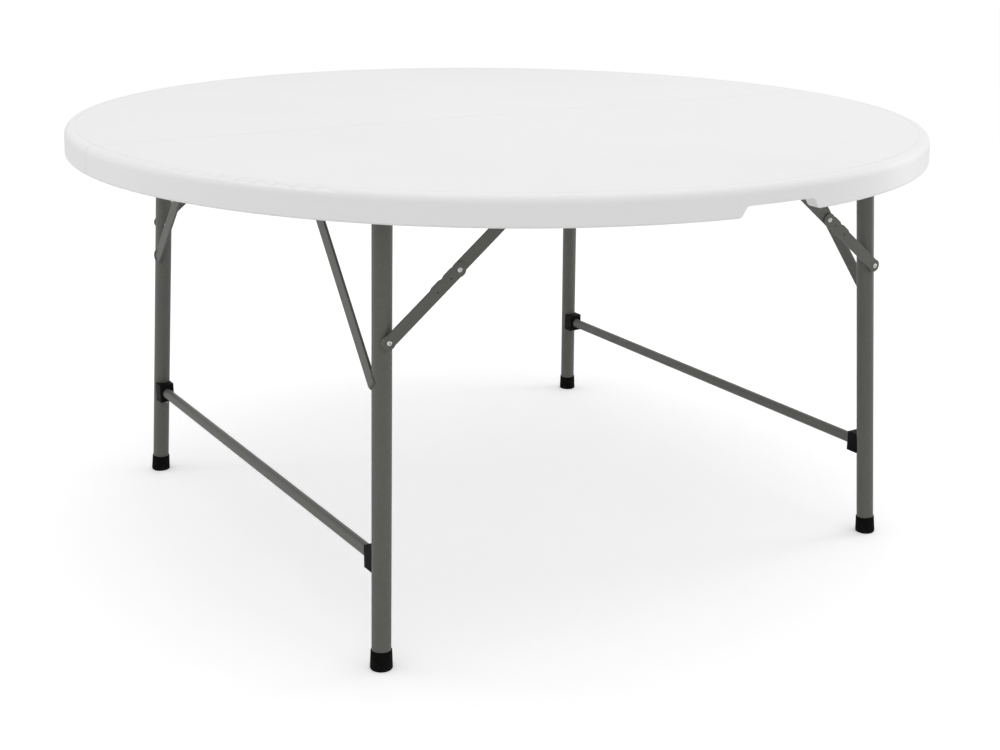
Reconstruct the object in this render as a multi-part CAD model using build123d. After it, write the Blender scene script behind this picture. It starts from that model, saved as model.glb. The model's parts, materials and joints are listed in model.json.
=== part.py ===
from build123d import *
import os
from math import cos, hypot, radians, sin, sqrt, tan

os.makedirs("parts", exist_ok=True)

# Round table top in two halves
table_height = 740.0
table_radius = 750.0
panel_thickness = 20.0
rim_depth = 45.0
rim_width = 22.0
rim_draft = 2.0
shoulder_radius = 13.0
rim_edge_radius = 3.0
underside_fillet = 4.0
seam_gap = 1.0
seam_wall_width = 16.0
seam_wall_rise = 3.0
edge_groove_inset = 4.0
edge_groove_width = 1.2
edge_groove_depth = 0.5

# Hand notch in the rim at the middle of each half
notch_bottom_width = 146.0
notch_top_width = 124.0
notch_height = 17.0
notch_corner_radius = 7.0
notch_mouth_radius = 12.0
notch_overrun = 0.2

# Leg tubes, their lean and their reach from the centre
foot_rim_inset = 49.2
foot_bearing = 44.25
nesting_step = 10.0
side_lean_share = 0.0521
end_lean_share = 0.0618
leg_diameter = 30.0
leg_wall = 1.5
leg_top_rise = 9.0

# Leg hinges
hinge_top_gap = 0.34
hinge_inset = 17.0
pivot_tube_radius = 11.0
pivot_tube_wall = 1.5
pivot_tube_overhang = 4.0
bush_running_clearance = 0.06
bush_wall = 1.4
bush_flange_lip = 1.2
bush_flange_thickness = 1.5
bush_overhang = 2.0

# Side rails and inner pivot brackets
sheet_thickness = 2.0
rail_arm_gap = 1.6
rail_end_gap = 24.7
rail_height = 23.0
rail_flange_width = 20.0
rail_ear_margin = 4.5
rail_corner_radius = 6.0
rail_screw_shares = (-0.94, -0.47, 0.0, 0.47, 0.94)
bracket_reach = 118.0
bracket_half_width = 22.0
bracket_drop = 30.0
bracket_flange_width = 20.0
bracket_corner_radius = 5.0
bracket_screw_offset = 14.0

# Screws
screw_radius = 2.4
screw_depth = 12.0
screw_head_radius = 4.0
screw_head_height = 2.0
screw_head_rounding = 1.2

# Fixed diagonals
diagonal_width = 22.0
diagonal_thickness = 4.0
diagonal_foot_drop = 286.0
diagonal_foot_offset = 12.8
diagonal_foot_setback = 5.0
diagonal_top_drop = 3.0
diagonal_top_offset = 33.0
diagonal_top_reach = 224.0
diagonal_end_length = 5.0
diagonal_corner_radius = 5.0

# Rubber feet
foot_height = 30.0
foot_top_radius = 16.4
foot_bottom_radius = 17.6
foot_floor = 5.0
foot_edge_radius = 4.0
foot_lip_radius = 0.6
foot_below_floor = 1.6

# Stretchers and their saddles
stretcher_height = 170.0
stretcher_radius = 9.5
stretcher_wall = 1.2
stretcher_end_gap = 2.0
saddle_depth = 18.0
saddle_width = 28.0
saddle_height = 36.0
saddle_wrap = 8.0
saddle_edge_radius = 4.0
saddle_screw_radius = 2.0
saddle_screw_length = 12.0
saddle_screw_setback = 10.0

# Folding braces
leg_rivet_drop = 214.0
brace_pivot_drop = 16.0
brace_slope = 38.7
lower_arm_length = 149.0
arm_width = 20.0
arm_thickness = 3.0
arm_leg_gap = 1.2
arm_face_gap = 0.3
leg_end_radius = 11.0
knee_end_radius = 11.4
arm_lobe_rise = 1.8
arm_lobe_length = 12.0
first_lobe_place = 22.0
second_lobe_place = 48.0
dimple_radius = 1.5
dimple_depth = 1.8
first_dimple_place = 18.0
second_dimple_place = 47.0

# Rivets
rivet_radius = 3.0
rivet_running_clearance = 0.05
rivet_play = 0.3
rivet_head_radius = 4.2
rivet_head_height = 2.5
rivet_head_rounding = 1.8
rivet_tail_height = 1.5
knee_hole_clearance = 0.2
spacer_radius = 6.5

# Seam hinges
seam_hinge_inset = 190.0
seam_hinge_shares = (-1.0, 0.0, 1.0)
leaf_length = 60.0
leaf_thickness = 2.0
knuckle_radius = 4.0
knuckle_gap = 0.3
seam_pin_radius = 2.0
leaf_screw_offset = 20.0
leaf_screw_reach = 10.5

# Heights that follow from the ones above
underside = table_height - panel_thickness
rim_bottom = table_height - rim_depth
seam_wall_bottom = rim_bottom + seam_wall_rise
knuckle_height = seam_wall_bottom - knuckle_radius
bush_bore = pivot_tube_radius + bush_running_clearance
bush_radius = bush_bore + bush_wall
hinge_height = underside - bush_radius - bush_flange_lip - hinge_top_gap
leg_top_height = hinge_height + leg_top_rise
diagonal_foot_height = underside - diagonal_foot_drop
diagonal_top_height = hinge_height - diagonal_top_drop
leg_rivet_height = underside - leg_rivet_drop
brace_pivot_height = underside - brace_pivot_drop

# Reaches from the centre that follow from the ones above
leg_radius = leg_diameter / 2
foot_circle_radius = table_radius - foot_rim_inset
foot_reach = foot_circle_radius * cos(radians(foot_bearing))
wide_frame_reach = foot_circle_radius * sin(radians(foot_bearing))
narrow_frame_reach = wide_frame_reach - nesting_step
rim_inner_radius = table_radius - rim_width
hinge_reach = foot_reach - side_lean_share * hinge_height - hinge_inset
leg_rivet_reach = foot_reach - side_lean_share * leg_rivet_height
brace_drop = brace_pivot_height - leg_rivet_height
brace_pivot_reach = leg_rivet_reach - brace_drop / tan(radians(brace_slope))
brace_length = hypot(leg_rivet_reach - brace_pivot_reach, brace_drop)
upper_arm_length = brace_length - lower_arm_length
wide_leg_face = wide_frame_reach - end_lean_share * leg_rivet_height + leg_radius
wide_arm_face = wide_leg_face + arm_leg_gap + arm_thickness * 2 + arm_face_gap
rail_web_reach = wide_arm_face + rivet_play + rivet_head_height + rail_arm_gap
rail_outer_reach = rail_web_reach + rail_flange_width
rail_half_length = sqrt(rim_inner_radius**2 - rail_outer_reach**2) - rail_end_gap
rail_ear_radius = bush_radius + rail_ear_margin
rail_screw_reach = rail_web_reach + rail_flange_width / 2
bracket_screw_reach = bracket_reach - bracket_flange_width / 2
pivot_tube_inner_end = bracket_reach - pivot_tube_overhang
pivot_tube_outer_end = rail_web_reach + sheet_thickness + pivot_tube_overhang
seam_hinge_reach = table_radius - seam_hinge_inset

LEFT = -1
RIGHT = 1
FRAMES = (
    ("left", LEFT, narrow_frame_reach),
    ("right", RIGHT, wide_frame_reach),
)
BASE = (Align.CENTER, Align.CENTER, Align.MIN)
OUTWARD = Vector(0, -1, 0)


# Shared shapes
def rod(start, finish, radius):
    span = finish - start
    return Plane(origin=start, z_dir=span) * Cylinder(radius, span.length, align=BASE)


def tube(start, finish, radius, wall):
    return rod(start, finish, radius) - rod(start, finish, radius - wall)


def cross_rod(x, z, inner_reach, outer_reach, radius):
    return rod(Vector(x, -inner_reach, z), Vector(x, -outer_reach, z), radius)


def cross_head(x, z, inner_reach, direction):
    # A low round rivet head that stands on a face square to Y
    head = Cylinder(rivet_head_radius, rivet_head_height, align=BASE)
    rim = head.edges().filter_by(GeomType.CIRCLE).sort_by(Axis.Z)[-1]
    head = fillet(rim, rivet_head_rounding)
    return Plane(origin=Vector(x, -inner_reach, z), z_dir=direction) * head


def upright_screw(x, y, seat_height):
    # The head hangs under the sheet and the shank goes up
    shank = Pos(x, y, seat_height) * Cylinder(screw_radius, screw_depth, align=BASE)
    head = Cylinder(screw_head_radius, screw_head_height, align=BASE)
    rim = head.edges().filter_by(GeomType.CIRCLE).sort_by(Axis.Z)[0]
    head = fillet(rim, screw_head_rounding)
    return shank + Pos(x, y, seat_height - screw_head_height) * head


def screw_bore(x, y, seat_height):
    return Pos(x, y, seat_height) * Cylinder(screw_radius, screw_depth, align=BASE)


def rear_of(piece):
    return mirror(piece, about=Plane.XZ)


def save(name, *pieces):
    solids = [solid for piece in pieces for solid in piece.solids()]
    whole = solids[0] if len(solids) == 1 else Compound(children=solids)
    whole.label = name
    export_step(whole, "parts/" + name + ".step")


# Places on a leg, for the front legs
def leg_reach_at(reach, height):
    return reach - end_lean_share * height


def leg_point(side, reach, height):
    x = side * (foot_reach - side_lean_share * height)
    return Vector(x, -leg_reach_at(reach, height), height)


def leg_rod(side, reach, low, high, radius):
    return rod(leg_point(side, reach, low), leg_point(side, reach, high), radius)


def under(height):
    # Everything near the floor that lies below a height
    slab = Box(table_radius * 3, table_radius * 3, foot_height, align=(Align.CENTER, Align.CENTER, Align.MAX))
    return Pos(0, 0, height) * slab


def full_leg(side, reach):
    return leg_rod(side, reach, 0.0, leg_top_height, leg_radius)


def arm_planes(reach):
    # Reach of the inner face of the upper arm and of the lower arm
    leg_face = leg_reach_at(reach, leg_rivet_height) + leg_radius
    upper = leg_face + arm_leg_gap
    return upper, upper + arm_thickness + arm_face_gap


# Screw places under the top, for the front half
def rail_screw_places():
    return [(share * rail_half_length, -rail_screw_reach) for share in rail_screw_shares]


def bracket_screw_places():
    places = []
    for side in (LEFT, RIGHT):
        for step in (-bracket_screw_offset, bracket_screw_offset):
            places.append((side * hinge_reach + step, -bracket_screw_reach))
    return places


def leaf_screw_places():
    places = []
    for share in seam_hinge_shares:
        for step in (-leaf_screw_offset, leaf_screw_offset):
            places.append((share * seam_hinge_reach + step, -leaf_screw_reach))
    return places


# Half top with its rim, seam wall, hand notch and screw holes
def hand_notch():
    half_bottom = notch_bottom_width / 2
    half_top = notch_top_width / 2
    low = rim_bottom - notch_height
    mouth_height = rim_bottom - notch_overrun
    high = rim_bottom + notch_height
    outline = Polyline(
        (-notch_bottom_width, low),
        (-notch_bottom_width, mouth_height),
        (-half_bottom, mouth_height),
        (-half_top, high),
        (half_top, high),
        (half_bottom, mouth_height),
        (notch_bottom_width, mouth_height),
        (notch_bottom_width, low),
        close=True,
    )
    face = make_face(Plane.XZ * outline)
    for side in (LEFT, RIGHT):
        mouth = face.vertices().sort_by_distance(Vector(side * half_bottom, 0, mouth_height))[0]
        face = fillet(mouth, notch_mouth_radius)
        corner = face.vertices().sort_by_distance(Vector(side * half_top, 0, high))[0]
        face = fillet(corner, notch_corner_radius)
    slab = extrude(face, amount=table_radius + rim_width, dir=OUTWARD)
    keep = Cylinder(rim_inner_radius - rim_draft - rim_width, table_height * 2)
    return slab - keep


def half_top():
    outer_top = table_radius - rim_draft
    inner_top = rim_inner_radius - rim_draft
    outline = Polyline(
        (0, underside),
        (inner_top, underside),
        (rim_inner_radius, rim_bottom),
        (table_radius, rim_bottom),
        (outer_top, table_height),
        (0, table_height),
        close=True,
    )
    face = make_face(Plane.XZ * outline)
    corner = {
        "inside": Vector(inner_top, 0, underside),
        "low inside": Vector(rim_inner_radius, 0, rim_bottom),
        "low outside": Vector(table_radius, 0, rim_bottom),
        "shoulder": Vector(outer_top, 0, table_height),
    }
    radii = {
        "inside": underside_fillet,
        "low inside": rim_edge_radius,
        "low outside": rim_edge_radius,
        "shoulder": shoulder_radius,
    }
    for name in corner:
        nearest = face.vertices().sort_by_distance(corner[name])[0]
        face = fillet(nearest, radii[name])
    half = revolve(face, axis=Axis.Z, revolution_arc=180)
    half = Rot(0, 0, 180) * half

    # Straight wall along the seam
    wall_length = rim_inner_radius * 2 + rim_width
    wall_height = underside - seam_wall_bottom + rim_edge_radius
    wall = Box(wall_length, seam_wall_width, wall_height, align=(Align.CENTER, Align.MAX, Align.MIN))
    half = half + Pos(0, 0, seam_wall_bottom) * wall

    # Gap at the seam
    gap = Box(table_radius * 3, seam_gap, table_height)
    half = half - Pos(0, 0, table_height) * gap

    # Fine groove inside the shoulder
    groove_radius = outer_top - shoulder_radius - edge_groove_inset
    ring = Cylinder(groove_radius, edge_groove_depth * 2)
    ring = ring - Cylinder(groove_radius - edge_groove_width, edge_groove_depth * 3)
    half = half - Pos(0, 0, table_height) * ring
    half = half - hand_notch()

    # Pilot holes for the screws
    for x, y in rail_screw_places() + bracket_screw_places():
        half = half - screw_bore(x, y, underside - sheet_thickness)
    for x, y in leaf_screw_places():
        half = half - screw_bore(x, y, seam_wall_bottom - leaf_thickness)
    return half


# Side rail that carries the outer leg hinges and the brace pivots
def side_rail():
    web = Rectangle(rail_half_length * 2, rail_height, align=(Align.CENTER, Align.MAX))
    web = Pos(0, underside) * web
    low_corners = web.vertices().sort_by(Axis.Y)[:2]
    web = fillet(low_corners, rail_corner_radius)
    ear_depth = underside - hinge_height
    for side in (LEFT, RIGHT):
        ear = Pos(side * hinge_reach, hinge_height) * Circle(rail_ear_radius)
        strip = Rectangle(rail_ear_radius * 2, ear_depth, align=(Align.CENTER, Align.MIN))
        above = Rectangle(rail_ear_radius * 2, rail_ear_radius * 2, align=(Align.CENTER, Align.MIN))
        ear = ear + Pos(side * hinge_reach, hinge_height) * strip
        ear = ear - Pos(side * hinge_reach, underside) * above
        web = web + ear
    for side in (LEFT, RIGHT):
        web = web - Pos(side * hinge_reach, hinge_height) * Circle(bush_radius)
        web = web - Pos(side * brace_pivot_reach, brace_pivot_height) * Circle(rivet_radius)
    plate = Plane(origin=(0, -rail_web_reach, 0), x_dir=(1, 0, 0), z_dir=(0, -1, 0)) * web
    rail = extrude(plate, amount=sheet_thickness)
    flange = Box(rail_half_length * 2, rail_flange_width, sheet_thickness, align=(Align.CENTER, Align.MAX, Align.MAX))
    rail = rail + Pos(0, -rail_web_reach, underside) * flange
    for side in (LEFT, RIGHT):
        seat = cross_rod(side * hinge_reach, hinge_height, rail_web_reach, pivot_tube_outer_end, bush_radius)
        rail = rail - seat
    for x, y in rail_screw_places():
        rail = rail - screw_bore(x, y, underside - sheet_thickness)
    return rail


# Bracket that carries the inner end of a pivot tube
def pivot_bracket(side):
    x = side * hinge_reach
    plate = Rectangle(bracket_half_width * 2, bracket_drop, align=(Align.CENTER, Align.MAX))
    plate = Pos(x, underside) * plate
    low_corners = plate.vertices().sort_by(Axis.Y)[:2]
    plate = fillet(low_corners, bracket_corner_radius)
    plate = plate - Pos(x, hinge_height) * Circle(bush_radius)
    plane = Plane(origin=(0, -bracket_reach, 0), x_dir=(1, 0, 0), z_dir=(0, -1, 0))
    bracket = extrude(plane * plate, amount=sheet_thickness)
    flange = Box(
        bracket_half_width * 2,
        bracket_flange_width,
        sheet_thickness,
        align=(Align.CENTER, Align.MIN, Align.MAX),
    )
    bracket = bracket + Pos(x, -bracket_reach, underside) * flange
    for place_x, y in bracket_screw_places():
        bracket = bracket - screw_bore(place_x, y, underside - sheet_thickness)
    return bracket


# Flanged plastic bush, with its flange against a plate
def bush(x, flange_reach, plate_reach, far_reach):
    flange = cross_rod(x, hinge_height, flange_reach, plate_reach, bush_radius + bush_flange_lip)
    sleeve = cross_rod(x, hinge_height, plate_reach, far_reach, bush_radius)
    bore = cross_rod(x, hinge_height, flange_reach, far_reach, bush_bore)
    return flange + sleeve - bore


def front_bushes():
    bushes = []
    outer_face = bracket_reach + sheet_thickness
    rail_far = rail_web_reach + sheet_thickness + bush_overhang
    for side in (LEFT, RIGHT):
        x = side * hinge_reach
        bushes.append(bush(x, outer_face + bush_flange_thickness, outer_face, bracket_reach))
        bushes.append(bush(x, rail_web_reach - bush_flange_thickness, rail_web_reach, rail_far))
    return bushes


# Seam hinge leaves, pins and screws
def leaf_plate(x):
    plate = Box(leaf_length, seam_wall_width - seam_gap, leaf_thickness, align=(Align.CENTER, Align.MAX, Align.MAX))
    return Pos(x, -seam_gap, seam_wall_bottom) * plate


def knuckle(low, high, radius):
    start = Vector(low, 0, knuckle_height)
    return rod(start, Vector(high, 0, knuckle_height), radius)


def seam_leaf(x, middle):
    third = leaf_length / 6
    centre = (x - third + knuckle_gap, x + third - knuckle_gap)
    left = (x - leaf_length / 2, x - third)
    right = (x + third, x + leaf_length / 2)
    own = [centre] if middle else [left, right]
    other = [left, right] if middle else [centre]
    leaf = leaf_plate(x)
    for low, high in other:
        leaf = leaf - knuckle(low - knuckle_gap, high + knuckle_gap, knuckle_radius + knuckle_gap)
    for low, high in own:
        bridge = Box(high - low, seam_gap * 2, leaf_thickness, align=(Align.MIN, Align.MAX, Align.MAX))
        leaf = leaf + knuckle(low, high, knuckle_radius)
        leaf = leaf + Pos(low, 0, seam_wall_bottom) * bridge
    leaf = leaf - knuckle(x - leaf_length / 2, x + leaf_length / 2, seam_pin_radius)
    for place_x, y in leaf_screw_places():
        leaf = leaf - screw_bore(place_x, y, seam_wall_bottom - leaf_thickness)
    return leaf


def seam_hinges(middle):
    return [seam_leaf(share * seam_hinge_reach, middle) for share in seam_hinge_shares]


def seam_pins():
    half = leaf_length / 2
    return [
        knuckle(share * seam_hinge_reach - half, share * seam_hinge_reach + half, seam_pin_radius)
        for share in seam_hinge_shares
    ]


# Rivet that hangs an upper arm on the rail web
def brace_pivot_rivet(side, reach):
    x = side * brace_pivot_reach
    z = brace_pivot_height
    upper_inner = arm_planes(reach)[0]
    upper_outer = upper_inner + arm_thickness
    web_outer = rail_web_reach + sheet_thickness
    head_seat = upper_inner - rivet_play
    rivet = cross_head(x, z, head_seat, -OUTWARD)
    rivet = rivet + cross_rod(x, z, head_seat, web_outer, rivet_radius)
    rivet = rivet + cross_rod(x, z, upper_outer + rivet_play, rail_web_reach, spacer_radius)
    rivet = rivet + cross_rod(x, z, web_outer, web_outer + rivet_tail_height, rivet_head_radius)
    return rivet


# Leg tube, coped round its pivot tube and drilled for the brace rivet
def hinge_rod(side):
    return cross_rod(side * hinge_reach, hinge_height, 0.0, table_radius, pivot_tube_radius)


def leg(side, reach):
    tube_bore = leg_rod(side, reach, 0.0, leg_top_height, leg_radius - leg_wall)
    body = full_leg(side, reach) - tube_bore
    body = body - under(foot_floor) - hinge_rod(side)
    hole = cross_rod(side * leg_rivet_reach, leg_rivet_height, 0.0, table_radius, rivet_radius)
    return body - hole


def pivot_tube(side):
    start = Vector(side * hinge_reach, -pivot_tube_inner_end, hinge_height)
    finish = Vector(side * hinge_reach, -pivot_tube_outer_end, hinge_height)
    return tube(start, finish, pivot_tube_radius, pivot_tube_wall)


# Flat bar from the outer side of the leg up to a tab on the pivot tube
def diagonal(side, reach):
    foot = leg_point(side, reach, diagonal_foot_height) + Vector(side * diagonal_foot_offset, 0, 0)
    top_x = side * (hinge_reach + diagonal_top_offset)
    top = Vector(top_x, -diagonal_top_reach, diagonal_top_height)
    along = (top - foot).normalized()
    across = Vector(1, 0, 0).cross(along).normalized()
    normal = along.cross(across)
    low_end = foot + along * diagonal_foot_setback
    high_end = top + along * diagonal_end_length
    outline = RectangleRounded((high_end - low_end).length, diagonal_width, diagonal_corner_radius)
    plane = Plane(origin=(low_end + high_end) / 2, x_dir=along, z_dir=normal)
    bar = extrude(plane * outline, amount=diagonal_thickness / 2, both=True)
    tab = Box(diagonal_top_offset, diagonal_width, diagonal_thickness)
    tab_x = side * (hinge_reach + diagonal_top_offset / 2)
    tab = Pos(tab_x, -diagonal_top_reach, diagonal_top_height) * tab
    return bar + tab - full_leg(side, reach) - hinge_rod(side)


# Rubber cup on the end of a leg
def foot(side, reach):
    base = leg_point(side, reach, 0.0)
    along = leg_point(side, reach, foot_height) - base
    low = -foot_below_floor
    outline = Polyline(
        (0, low),
        (foot_bottom_radius, low),
        (foot_top_radius, foot_height),
        (0, foot_height),
        close=True,
    )
    face = make_face(Plane.XZ * outline)
    by_height = face.vertices().filter_by(lambda v: v.X > leg_radius).sort_by(Axis.Z)
    face = fillet(by_height[0], foot_edge_radius)
    lip = face.vertices().filter_by(lambda v: v.X > leg_radius).sort_by(Axis.Z)[-1]
    face = fillet(lip, foot_lip_radius)
    cup = Plane(origin=base, z_dir=along) * revolve(face, axis=Axis.Z)
    leg_seat = full_leg(side, reach) - under(foot_floor)
    return cup - leg_seat - under(0.0)


# Stretcher between the two legs of a frame
def stretcher_half_length(reach):
    return leg_reach_at(reach, stretcher_height) - leg_radius - stretcher_end_gap


def stretcher_rod(side, reach, radius):
    half = stretcher_half_length(reach)
    x = leg_point(side, reach, stretcher_height).X
    return rod(Vector(x, -half, stretcher_height), Vector(x, half, stretcher_height), radius)


def saddle_screw_place(side, reach):
    x = leg_point(side, reach, stretcher_height).X
    setback = leg_radius + saddle_screw_setback
    y = setback - leg_reach_at(reach, stretcher_height)
    return Vector(x, y, stretcher_height - saddle_height / 2)


def saddle_screw_shank(side, reach):
    seat = saddle_screw_place(side, reach)
    return rod(seat, seat + Vector(0, 0, saddle_screw_length), saddle_screw_radius)


def saddle_screw(side, reach):
    head = Cylinder(screw_head_radius, screw_head_height, align=(Align.CENTER, Align.CENTER, Align.MAX))
    rim = head.edges().filter_by(GeomType.CIRCLE).sort_by(Axis.Z)[0]
    head = fillet(rim, screw_head_rounding)
    return saddle_screw_shank(side, reach) + Pos(*saddle_screw_place(side, reach)) * head


def stretcher(side, reach):
    body = stretcher_rod(side, reach, stretcher_radius)
    body = body - stretcher_rod(side, reach, stretcher_radius - stretcher_wall)
    shank = saddle_screw_shank(side, reach)
    return body - shank - rear_of(shank)


def saddle(side, reach):
    centre = leg_point(side, reach, stretcher_height)
    depth = saddle_depth + saddle_wrap
    block = Box(saddle_width, depth, saddle_height, align=(Align.CENTER, Align.MIN, Align.CENTER))
    block = fillet(block.faces().sort_by(Axis.Y)[-1].edges(), saddle_edge_radius)
    block = Pos(centre.X, centre.Y + leg_radius - saddle_wrap, stretcher_height) * block
    block = block - full_leg(side, reach) - stretcher_rod(side, reach, stretcher_radius)
    return block - saddle_screw_shank(side, reach)


# Rivet through the leg, with a spacer that holds the lower arm off it
def leg_rivet(side, reach):
    x = side * leg_rivet_reach
    z = leg_rivet_height
    axis_reach = leg_reach_at(reach, leg_rivet_height)
    lower_inner = arm_planes(reach)[1]
    head_seat = lower_inner + arm_thickness + rivet_play
    tail_reach = axis_reach - leg_radius - rivet_tail_height
    spacer = cross_rod(x, z, axis_reach, lower_inner - rivet_play, spacer_radius)
    tail = cross_rod(x, z, tail_reach, axis_reach, rivet_head_radius)
    rivet = spacer + tail - full_leg(side, reach)
    rivet = rivet + cross_rod(x, z, tail_reach, head_seat, rivet_radius)
    return rivet + cross_head(x, z, head_seat, OUTWARD)


# Brace arms, drawn along the brace from their fixed pivots
def arm_plane(side, x, z, inner_reach, leans_up):
    slope = radians(brace_slope)
    along = Vector(-side * cos(slope), 0, sin(slope)) * leans_up
    return Plane(origin=(x, -inner_reach, z), x_dir=along, z_dir=OUTWARD)


def lobe(start, length, radius):
    return Pos(start + length / 2, 0) * SlotCenterToCenter(length, radius * 2)


def lower_arm(side, reach):
    length = lower_arm_length
    outline = Rectangle(length, arm_width, align=(Align.MIN, Align.CENTER))
    outline = outline + Circle(leg_end_radius) + Pos(length, 0) * Circle(knee_end_radius)
    for place in (first_lobe_place, second_lobe_place):
        bulge = lobe(length - place, arm_lobe_length, arm_width / 2)
        outline = outline + Pos(0, -side * arm_lobe_rise) * bulge
    outline = outline - Circle(rivet_radius + rivet_running_clearance)
    outline = outline - Pos(length, 0) * Circle(rivet_radius)
    inner = arm_planes(reach)[1]
    plane = arm_plane(side, side * leg_rivet_reach, leg_rivet_height, inner, 1)
    arm = extrude(plane * outline, amount=arm_thickness)
    for place in (first_dimple_place, second_dimple_place):
        dimple = Pos(length - place, 0, arm_thickness) * Cylinder(dimple_radius, dimple_depth * 2)
        arm = arm - plane * dimple
    return arm


def upper_arm(side, reach):
    length = upper_arm_length
    outline = lobe(0.0, length, arm_width / 2)
    outline = outline - Circle(rivet_radius + rivet_running_clearance)
    outline = outline - Pos(length, 0) * Circle(rivet_radius + knee_hole_clearance)
    inner = arm_planes(reach)[0]
    plane = arm_plane(side, side * brace_pivot_reach, brace_pivot_height, inner, -1)
    return extrude(plane * outline, amount=arm_thickness)


# Knee rivet, which rides on the lower arm
def knee_rivet(side, reach):
    slope = radians(brace_slope)
    x = side * (leg_rivet_reach - lower_arm_length * cos(slope))
    z = leg_rivet_height + lower_arm_length * sin(slope)
    inner = arm_planes(reach)[1]
    outer = inner + arm_thickness
    return cross_rod(x, z, inner, outer, rivet_radius) + cross_head(x, z, outer, OUTWARD)


# The top and everything fixed under it
front_top = half_top()
save("front_half_top", front_top)
save("rear_half_top", rear_of(front_top))

front_rail = side_rail()
save("front_side_rail", front_rail)
save("rear_side_rail", rear_of(front_rail))

front_brackets = [pivot_bracket(side) for side in (LEFT, RIGHT)]
save("front_pivot_brackets", *front_brackets)
save("rear_pivot_brackets", *[rear_of(piece) for piece in front_brackets])

bushes = front_bushes()
save("pivot_bushes", *bushes, *[rear_of(piece) for piece in bushes])

sheet_seat = underside - sheet_thickness
rail_screws = [upright_screw(x, y, sheet_seat) for x, y in rail_screw_places()]
save("rail_screws", *rail_screws, *[rear_of(piece) for piece in rail_screws])

bracket_screws = [upright_screw(x, y, sheet_seat) for x, y in bracket_screw_places()]
save("bracket_screws", *bracket_screws, *[rear_of(piece) for piece in bracket_screws])

save("front_hinge_leaves", *seam_hinges(True))
save("rear_hinge_leaves", *[rear_of(piece) for piece in seam_hinges(False)])
save("seam_hinge_pins", *seam_pins())

leaf_seat = seam_wall_bottom - leaf_thickness
hinge_screws = [upright_screw(x, y, leaf_seat) for x, y in leaf_screw_places()]
save("hinge_screws", *hinge_screws, *[rear_of(piece) for piece in hinge_screws])

pivot_rivets = [brace_pivot_rivet(side, reach) for name, side, reach in FRAMES]
save("brace_pivot_rivets", *pivot_rivets, *[rear_of(piece) for piece in pivot_rivets])

# The two leg frames and their braces
for name, side, reach in FRAMES:
    paired = {
        "leg": leg(side, reach),
        "pivot_tube": pivot_tube(side),
        "diagonal": diagonal(side, reach),
        "foot": foot(side, reach),
        "lower_arm": lower_arm(side, reach),
        "upper_arm": upper_arm(side, reach),
        "knee_rivet": knee_rivet(side, reach),
    }
    for kind, piece in paired.items():
        save(name + "_front_" + kind, piece)
        save(name + "_rear_" + kind, rear_of(piece))
    save(name + "_stretcher", stretcher(side, reach))
    shared = {
        "stretcher_saddles": saddle(side, reach),
        "saddle_screws": saddle_screw(side, reach),
        "leg_rivets": leg_rivet(side, reach),
    }
    for kind, piece in shared.items():
        save(name + "_" + kind, piece, rear_of(piece))
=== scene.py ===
# %% [markdown]
# # A round folding table, dressed for the camera
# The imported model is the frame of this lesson: every tube, arm and half top already stands where it
# belongs. The cells below light it, give each surface its finish, and swap plain solids for fuller ones
# where a maker would see more: moulded dimples, crossed screw heads, hollow rivets, rounded sheet edges
# and weld beads.

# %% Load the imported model
import json
from math import asin, cos, pi, radians, sin, sqrt

import bmesh
import bpy
from mathutils import Matrix, Vector


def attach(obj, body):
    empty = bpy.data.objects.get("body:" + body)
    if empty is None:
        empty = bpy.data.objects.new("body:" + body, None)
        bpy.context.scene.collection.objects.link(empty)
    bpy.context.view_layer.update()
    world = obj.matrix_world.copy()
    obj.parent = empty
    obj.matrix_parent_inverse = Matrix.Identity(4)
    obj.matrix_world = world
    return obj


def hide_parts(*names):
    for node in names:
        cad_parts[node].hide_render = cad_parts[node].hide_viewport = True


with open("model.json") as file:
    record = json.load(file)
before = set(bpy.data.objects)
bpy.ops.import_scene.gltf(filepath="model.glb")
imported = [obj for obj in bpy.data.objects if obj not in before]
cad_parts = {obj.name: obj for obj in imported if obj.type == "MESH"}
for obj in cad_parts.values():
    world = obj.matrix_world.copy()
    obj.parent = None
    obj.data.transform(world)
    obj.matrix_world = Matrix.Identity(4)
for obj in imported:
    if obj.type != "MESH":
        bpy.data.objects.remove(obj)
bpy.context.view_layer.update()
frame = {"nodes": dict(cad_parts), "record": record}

nodes = frame["nodes"]
record = frame["record"]
slot_of = {part["node"]: part["material_slot"] for part in record["subparts"]}
body_of = {node: body for body, members in record["behaviour"]["bodies"].items() for node in members}
MM = 0.001

# %% [markdown]
# ## Camera
# The photograph looks down on the table from the front left. Its camera was found by matching the feet,
# the saddles, the rivets and the rim of the top, so the numbers here are a place, three turns and a focal
# length in pixels of a frame 1000 pixels wide. A small shift puts the lens centre where the match has it.

# %% Camera
FRAME_WIDTH, FRAME_HEIGHT = 1000, 750
SENSOR_WIDTH = 36.0
focal_pixels = 1490.94
lens_centre = (524.08, 376.21)
camera_place = Vector((-1.423, -2.2765, 1.1195))
yaw, pitch, roll = radians(56.909), radians(18.0), radians(0.8075)

forward = Vector((cos(yaw) * cos(pitch), sin(yaw) * cos(pitch), -sin(pitch)))
level_right = Vector((sin(yaw), -cos(yaw), 0.0))
level_up = level_right.cross(forward)
camera_right = level_right * cos(roll) + level_up * sin(roll)
camera_up = level_up * cos(roll) - level_right * sin(roll)

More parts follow.
